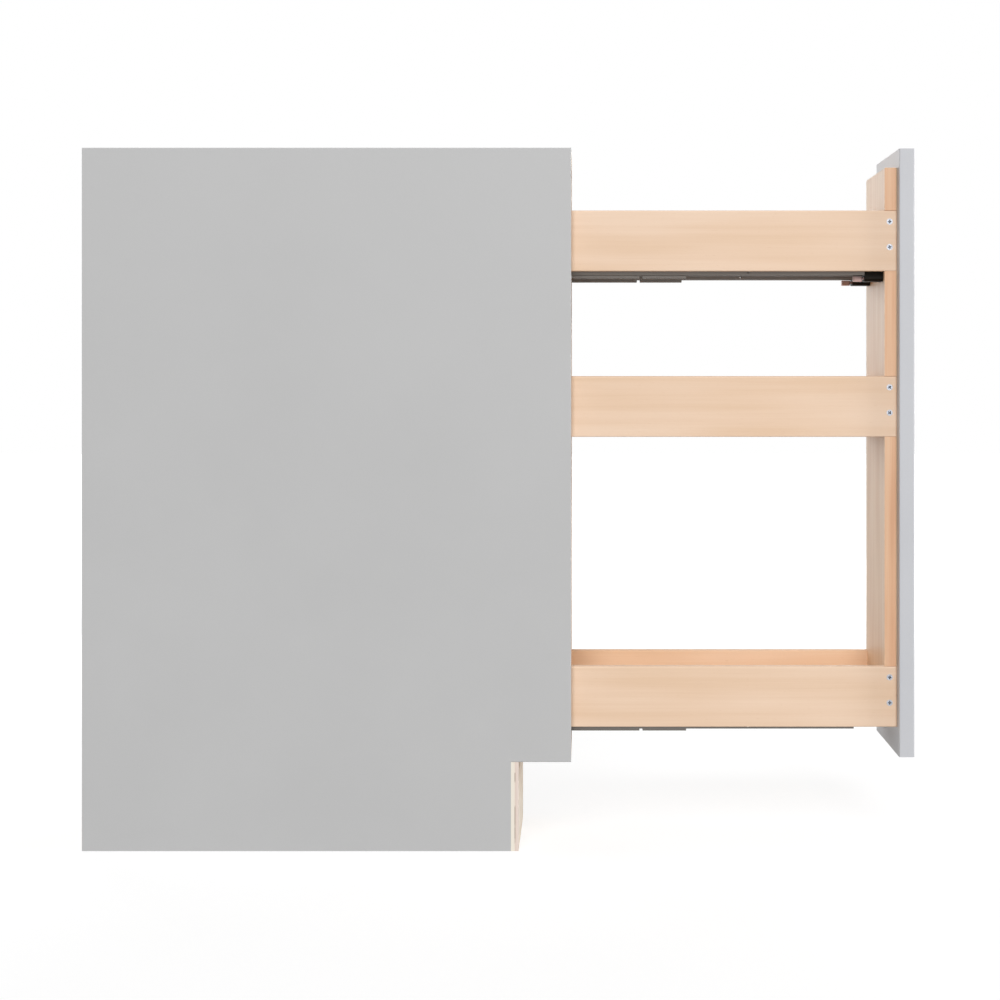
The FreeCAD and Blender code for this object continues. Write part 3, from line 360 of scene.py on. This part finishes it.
def moulded(name, dark, light, roughness, ior, shine):
    """A moulded plastic: one even colour, with the spark-eroded grain of the tool on it."""
    material, tree, shader = surface(name)
    spot = add(tree, "ShaderNodeTexCoord").outputs["Object"]
    where = add(tree, "ShaderNodeMapping", {"Vector": spot, "Scale": per_metre(TOOL_GRAIN)})
    grain = add(tree, "ShaderNodeTexNoise", {
        "Vector": where, "Scale": 1.0, "Detail": 2.0, "Roughness": 0.6})
    colour = add(tree, "ShaderNodeValToRGB", {"Fac": grain}, [(NOISE_LOW, dark), (NOISE_HIGH, light)])
    gloss = add(tree, "ShaderNodeMapRange", {
        "Value": grain, "From Min": NOISE_LOW, "From Max": NOISE_HIGH,
        "To Min": roughness - 0.05, "To Max": roughness + 0.08})
    relief = add(tree, "ShaderNodeBump", {
        "Height": grain, "Strength": 0.2, "Distance": TOOL_GRAIN_HEIGHT})
    fill(tree, shader, {
        "Base Color": colour, "Roughness": gloss, "Normal": relief, "IOR": ior,
        "Specular IOR Level": shine})
    return material


# Finishes of the CAD pieces

def dress(material, *names):
    """Give CAD nodes a material."""
    for name in names:
        slots = nodes[name].data.materials
        slots.clear()
        slots.append(material)


side_paint = painted_side("sprayed_grey_paint_of_sides", "#BCBCBC", "#C0C0C0")
front_paint = sprayed_paint("sprayed_grey_paint_of_front", "#C2C3C7", "#C8C9CD")
dress(side_paint, "left_side_panel", "right_side_panel")
dress(front_paint, *FRONT)

# The left sides are cut from a paler board than the right sides and the floors.
pale_birch = smooth_wood(
    "lacquered_birch_of_left_sides", "Y", ("#EFD2B8", "#EBCCB0", "#E6C5A6"), "#DBB692")
warm_birch = smooth_wood(
    "lacquered_birch_of_right_sides", "Y", ("#F0CFB0", "#EBC7A5", "#E5BE99"), "#D8AE86")
for tray in TRAYS:
    dress(pale_birch, tray + "_tray_left_side")
    dress(warm_birch, tray + "_tray_right_side", tray + "_tray_floor")
dress(edged_birch("lacquered_birch_of_uprights"), "front_upright", "rear_upright")

for name, along, across in (("bottom_panel", "Y", "Z"), ("front_stretcher", "X", "Z"),
                            ("rear_stretcher", "X", "Z"), ("back_panel", "Z", "Y")):
    low_face = getattr(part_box(name)[0], across.lower())
    dress(lacquered_plywood("lacquered_birch_plywood_of_" + name, along, across, low_face), name)
dress(bare_toe_plywood("bare_birch_plywood_of_toe_board"), "toe_board")
dress(smooth_wood("pressed_beech_of_dowels", "X", ("#D9B48E", "#CFA67D", "#BD9067"), "#A87C55"), "dowels")

steel = rolled_steel("roll_formed_galvanised_steel")
nylon = moulded("moulded_natural_nylon", "#DAD7CC", "#E6E3D9", roughness=0.42, ior=1.53, shine=0.5)
for slide in SLIDES:
    for hand in HANDS:
        side = f"{slide}_{hand}_"
        dress(steel, side + "fixed_rail", side + "middle_rail", side + "drawer_rail")
        dress(nylon, side + "inner_cage", side + "outer_cage")

black_acetal = moulded("moulded_black_acetal", "#100C06", "#18120B", roughness=0.5, ior=1.48, shine=0.12)
pale_red_acetal = moulded(
    "moulded_pale_red_acetal", "#EBC2BB", "#F1CFC9", roughness=0.4, ior=1.48, shine=0.3)
for hand in HANDS:
    dress(black_acetal, f"upper_{hand}_clip")
    dress(pale_red_acetal, f"upper_{hand}_clip_lever")

# The recesses of the screws get a darker zinc: painted shade, standing in for the shade that falls inside
# them.
zinc = zinc_plate("zinc_plated_steel", "#9A9EA6", "#C2C6CE")
recess_zinc_with_painted_shade = zinc_plate("zinc_plated_steel_with_painted_recess_shade", "#535A66", "#6F7785")
dress(zinc, "cam_discs", "cam_bolts")


# Screws with a cross recess in the head. The threads are buried in the wood and left out.

ROUND_STEPS = 40
RIGHT_TURNS = 4

# Reach and depth of the recess as shares of the head's radius and height
RECESS_REACH, RECESS_DEPTH = 0.58, 0.9

# Half width of the recess at its mouth, and reach and half width at its bottom, as shares of its reach
MOUTH_HALF, BOTTOM_REACH, BOTTOM_HALF = 0.3, 0.5, 0.2

# Rim of a countersunk head as a share of its height, and rings of a pan head as shares of its radius and
# of its height below the top
RIM = 0.1
DOME = ((0.6, 0.0), (0.84, 0.14), (1.0, 0.55))

# The point is this many shank radii long, and each screw is turned this many radians further than the last.
POINT = 2.0
TURN_STEP = 0.7

# Edges that turn by more than this are shaded as sharp, and corners closer than this are one corner.
SHARP_ANGLE = math.radians(40)
SAME_CORNER = 0.001 * MM


def lone_boxes(name):
    """Lowest and highest corners of each separate solid in a CAD node."""
    mesh = bmesh.new()
    mesh.from_mesh(nodes[name].data)
    bmesh.ops.remove_doubles(mesh, verts=mesh.verts, dist=SAME_CORNER)
    boxes, seen = [], set()
    for start in mesh.verts:
        if start in seen:
            continue
        reached, waiting = [start], [start]
        seen.add(start)
        while waiting:
            here = waiting.pop()
            for edge in here.link_edges:
                other = edge.other_vert(here)
                if other not in seen:
                    seen.add(other)
                    reached.append(other)
                    waiting.append(other)
        low = Vector([min(vert.co[axis] for vert in reached) for axis in range(3)])
        high = Vector([max(vert.co[axis] for vert in reached) for axis in range(3)])
        boxes.append((low, high))
    mesh.free()
    return boxes


def ring(mesh, radius, depth):
    """Corners of a circle round the screw's axis."""
    angles = [2 * math.pi * step / ROUND_STEPS for step in range(ROUND_STEPS)]
    return [mesh.verts.new((radius * math.cos(a), radius * math.sin(a), depth)) for a in angles]


def cross(mesh, reach, half_width, depth):
    """Corners of a cross, going round it once."""
    arm = [(reach, -half_width), (reach, half_width), (half_width, half_width)]
    turns = [Matrix.Rotation(math.pi / 2 * step, 2) for step in range(RIGHT_TURNS)]
    corners = [turn @ Vector(corner) for turn in turns for corner in arm]
    return [mesh.verts.new((corner.x, corner.y, depth)) for corner in corners]


def bridge(mesh, first, second, material_index=0):
    """Quads between two loops of equal length."""
    count = len(first)
    for step in range(count):
        after = (step + 1) % count
        face = mesh.faces.new((first[step], first[after], second[after], second[step]))
        face.material_index = material_index


def loop_edges(mesh, loop):
    """Edges round a loop, made where there are none yet."""
    return [mesh.edges.get(pair) or mesh.edges.new(pair) for pair in zip(loop, loop[1:] + loop[:1])]


def add_screw(mesh, profile, recess_reach, recess_depth, place):
    """Add a screw, from rings of radius and depth below the top of its head, and move it to its place."""
    rings = [ring(mesh, radius, depth) for radius, depth in profile[:-1]]
    for upper, lower in zip(rings, rings[1:]):
        bridge(mesh, upper, lower)
    tip = mesh.verts.new((0, 0, profile[-1][1]))
    for first, second in zip(rings[-1], rings[-1][1:] + rings[-1][:1]):
        mesh.faces.new((first, second, tip))
    mouth = cross(mesh, recess_reach, recess_reach * MOUTH_HALF, 0)
    bottom = cross(mesh, recess_reach * BOTTOM_REACH, recess_reach * BOTTOM_HALF, recess_depth)
    head_edges = loop_edges(mesh, rings[0]) + loop_edges(mesh, mouth)
    bmesh.ops.triangle_fill(mesh, use_beauty=True, edges=head_edges)
    # The recess walls and bottom take the second material, a darker zinc that is painted shade.
    bridge(mesh, mouth, bottom, material_index=1)
    mesh.faces.new(bottom).material_index = 1
    corners = [corner for loop in rings + [mouth, bottom] for corner in loop] + [tip]
    bmesh.ops.transform(mesh, matrix=place, verts=corners)


def countersunk_profile(head, height, shank, length):
    """Flat head with a thin rim, cone, shank and point."""
    return [(head, 0), (head, RIM * height), (shank, height), (shank, length - POINT * shank), (0, length)]


def pan_profile(head, height, shank, length):
    """Rounded head with a flat seat under it, shank and point."""
    dome = [(wide * head, deep * height) for wide, deep in DOME]
    return dome + [(head, height), (shank, height), (shank, length - POINT * shank), (0, length)]


def screws(node, body, direction_of, profile_of, head, height, shank):
    """Replace a node of plain screws by screws with a cross recess. Head and shank are given as radii."""
    whole = bmesh.new()
    for number, (low, high) in enumerate(lone_boxes(node)):
        middle = (low + high) / 2
        way = direction_of(middle)
        length = abs((high - low).dot(way))
        profile = profile_of(head, height, shank, length)
        aim = way.to_track_quat("Z", "Y").to_matrix().to_4x4()
        turn = Matrix.Rotation(TURN_STEP * number, 4, "Z")
        place = Matrix.Translation(middle - way * length / 2) @ aim @ turn
        add_screw(whole, profile, RECESS_REACH * head, RECESS_DEPTH * height, place)
    bmesh.ops.recalc_face_normals(whole, faces=whole.faces)
    mesh = bpy.data.meshes.new(node + "_detailed")
    whole.to_mesh(mesh)
    whole.free()
    mesh.materials.append(zinc)
    # The second material is the darker zinc that paints the shade inside the recesses.
    mesh.materials.append(recess_zinc_with_painted_shade)
    mesh.shade_smooth()
    mesh.set_sharp_from_angle(angle=SHARP_ANGLE)
    piece = new_object(node + "_detailed", mesh)
    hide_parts(node)
    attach(piece, body)


def inward(spot):
    """From a side of the cabinet towards its middle plane."""
    return Vector((-math.copysign(1, spot.x), 0, 0))


def outward(spot):
    """From the middle plane of the cabinet towards its nearer side."""
    return Vector((math.copysign(1, spot.x), 0, 0))


def forward(spot):
    """Towards the front, wherever the screw is."""
    return Vector((0, -1, 0))


screws("tray_screws", "pullout", inward, countersunk_profile,
       head=3.8 * MM, height=2.4 * MM, shank=1.75 * MM)
screws("front_screws", "pullout", forward, pan_profile,
       head=4.25 * MM, height=2.6 * MM, shank=2.0 * MM)
screws("clip_screws", "pullout", forward, pan_profile,
       head=3.0 * MM, height=2.0 * MM, shank=1.5 * MM)
screws("back_screws", "cabinet", forward, countersunk_profile,
       head=4.0 * MM, height=2.6 * MM, shank=1.75 * MM)
screws("rail_screws", "cabinet", outward, pan_profile,
       head=3.5 * MM, height=2.0 * MM, shank=1.75 * MM)


# Camera. The picture is 1000 pixels square, and the left side of the cabinet fills a known box in it, given
# in pixels from the picture's top left corner. The eye looks straight ahead at EYE_COLUMN and EYE_ROW, and
# it is EYE_DISTANCE metres from that side.

IMAGE_SIDE = 1000
SIDE_LEFT, SIDE_RIGHT = 81.8, 571.2
SIDE_FOOT = 851.2
EYE_COLUMN, EYE_ROW = 580.0, 378.0
EYE_DISTANCE = 2.9
SENSOR = 36.0
FARTHEST = 50.0

side_low, side_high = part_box("left_side_panel")
pixel = (side_high.y - side_low.y) / (SIDE_RIGHT - SIDE_LEFT)
optics = bpy.data.cameras.new("camera")
optics.sensor_width = SENSOR
optics.lens = SENSOR * EYE_DISTANCE / (pixel * IMAGE_SIDE)
optics.shift_x = 0.5 - EYE_COLUMN / IMAGE_SIDE
optics.shift_y = EYE_ROW / IMAGE_SIDE - 0.5
optics.clip_end = FARTHEST
camera = new_object("camera", optics)
camera.location = (side_low.x - EYE_DISTANCE, side_high.y - (EYE_COLUMN - SIDE_LEFT) * pixel,
                   (SIDE_FOOT - EYE_ROW) * pixel)
camera.rotation_euler = (math.pi / 2, 0, -math.pi / 2)
scene.camera = camera


# Stage: a pale floor that keeps a soft shadow, and a white room. Lengths are in metres, and a glow or a
# light of 1 is white.

FLOOR_HALF = 15.0
FLOOR_CLOUD = 400 * MM
FLOOR_GLOW = 0.72
SHADOW_REACH, WHITE_FROM = 2.4, 4.0
ROOM_LIGHT = 0.27


def pale_floor():
    """Matt white floor that the eye, mirrors and glass see as white, apart from the object's shadow: it
    glows less within the shadow's reach, and plain white far off, so that no edge shows behind the object."""
    material, tree, shader = surface("matt_white_floor")
    tree.nodes.remove(shader)
    spot = add(tree, "ShaderNodeTexCoord").outputs["Object"]
    wide = add(tree, "ShaderNodeMapping", {"Vector": spot, "Scale": per_metre(FLOOR_CLOUD)})
    cloud = add(tree, "ShaderNodeTexNoise", {"Vector": wide, "Scale": 1.0})
    colour = add(tree, "ShaderNodeValToRGB", {"Fac": cloud}, [(0.0, "#A4A4A4"), (1.0, "#A8A8A8")])
    matt = add(tree, "ShaderNodeBsdfDiffuse", {"Color": colour})
    away = add(tree, "ShaderNodeVectorMath", {0: spot}, operation="LENGTH").outputs["Value"]
    level = add(tree, "ShaderNodeMapRange", {
        "Value": away, "From Min": SHADOW_REACH, "From Max": WHITE_FROM,
        "To Min": FLOOR_GLOW, "To Max": 1.0})
    strength = add(tree, "ShaderNodeMath", {0: seen_directly(tree), 1: level}, operation="MULTIPLY")
    glow = add(tree, "ShaderNodeEmission", {"Color": linear("#FFFFFF"), "Strength": strength})
    both = add(tree, "ShaderNodeAddShader", {0: matt, 1: glow})
    fill(tree, tree.nodes["Material Output"], {"Surface": both})
    return material


def white_room():
    """A world that is white to the eye, mirrors and glass, and lights the object from all sides a little."""
    room = bpy.data.worlds.new("white_room")
    room.use_nodes = True
    tree = room.node_tree
    level = add(tree, "ShaderNodeMapRange", {
        "Value": seen_directly(tree), "To Min": ROOM_LIGHT, "To Max": 1.0})
    fill(tree, tree.nodes["Background"], {"Color": linear("#FFFFFF"), "Strength": level})
    return room


floor_mesh = bpy.data.meshes.new("floor")
corners = [(x * FLOOR_HALF, y * FLOOR_HALF, 0) for x, y in ((-1, -1), (1, -1), (1, 1), (-1, 1))]
floor_mesh.from_pydata(corners, [], [(0, 1, 2, 3)])
floor_mesh.materials.append(pale_floor())
floor = new_object("floor", floor_mesh)
scene.world = white_room()


# Light. The key light is far away and broad, so it lights the whole side evenly. KEY_TURN is measured
# from the camera's side towards the back of the cabinet, and KEY_RISE from level.

KEY_TURN, KEY_RISE = math.radians(1.5), math.radians(27)
KEY_SPREAD = math.radians(26)
KEY_LIGHT = 2.04

key_light = bpy.data.lights.new("key_light", "SUN")
key_light.energy = KEY_LIGHT
key_light.angle = KEY_SPREAD
key_lamp = new_object("key_light", key_light)
towards_key = Vector((-math.cos(KEY_TURN) * math.cos(KEY_RISE), math.sin(KEY_TURN) * math.cos(KEY_RISE),
                      math.sin(KEY_RISE)))
key_lamp.rotation_euler = towards_key.to_track_quat("Z", "Y").to_euler()


def softbox(name, spot, target, width, height, power):
    """A large soft lamp that faces a target, with its sizes in metres and its power in watts."""
    light = bpy.data.lights.new(name, "AREA")
    light.shape = "RECTANGLE"
    light.size = width
    light.size_y = height
    light.energy = power
    lamp = new_object(name, light)
    lamp.location = spot
    lamp.rotation_euler = (Vector(target) - Vector(spot)).to_track_quat("-Z", "Y").to_euler()


softbox("front_softbox", spot=(-0.8, -4.2, 0.6), target=(0, -0.5, 0.4), width=2.4, height=1.8, power=75)
softbox("right_softbox", spot=(4.0, -2.6, 1.0), target=(0, -0.5, 0.45), width=2.0, height=1.8, power=70)
softbox("back_softbox", spot=(0, 3.6, 0.45), target=(0, 0, 0.45), width=0.6, height=0.7, power=40)
softbox("rim_softbox", spot=(2.2, 0.5, 1.0), target=(0, -1.0, 0.45), width=1.2, height=1.0, power=17)
